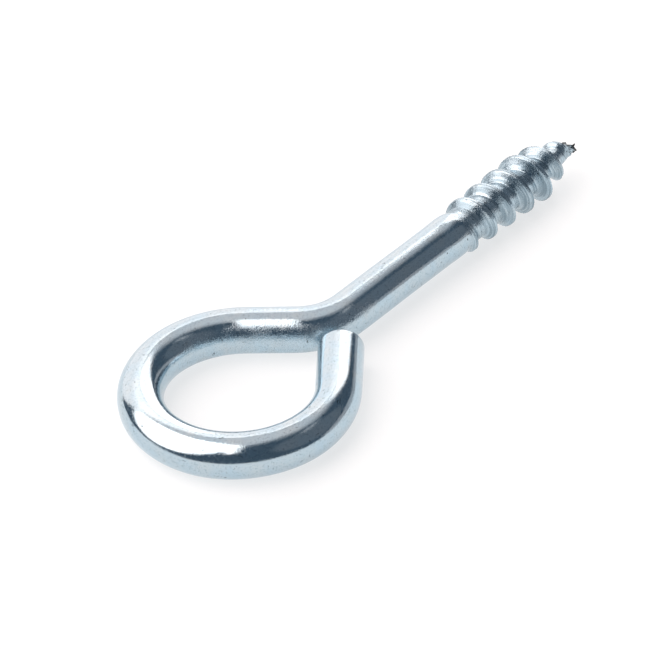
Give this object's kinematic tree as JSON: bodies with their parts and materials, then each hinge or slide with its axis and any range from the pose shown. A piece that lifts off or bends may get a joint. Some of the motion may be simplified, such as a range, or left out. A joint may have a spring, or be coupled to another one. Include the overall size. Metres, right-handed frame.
{
  "type": "screw eye",
  "caption": "Screw eye bent from round zinc-plated steel wire: a round unwelded eye, a cranked neck, a straight shank and a coarse right-hand wood-screw thread with a torn point.",
  "frame": {"origin": "middle of the bounding box in X and Y, level with the underside of the thread's crests in Z", "axes": "+X along the shank towards the point, +Z along the axis of the eye, which lies flat, +Y towards the side where the wire runs on from the eye into the neck"},
  "size_m": [0.0816, 0.0306, 0.0077],
  "materials": {
    "zinc_plated_steel": "bright blue-passivated zinc plating on drawn wire, glossy"
  },
  "bodies": {
    "root": {"screw_eye": "zinc_plated_steel"}
  },
  "joints": []
}
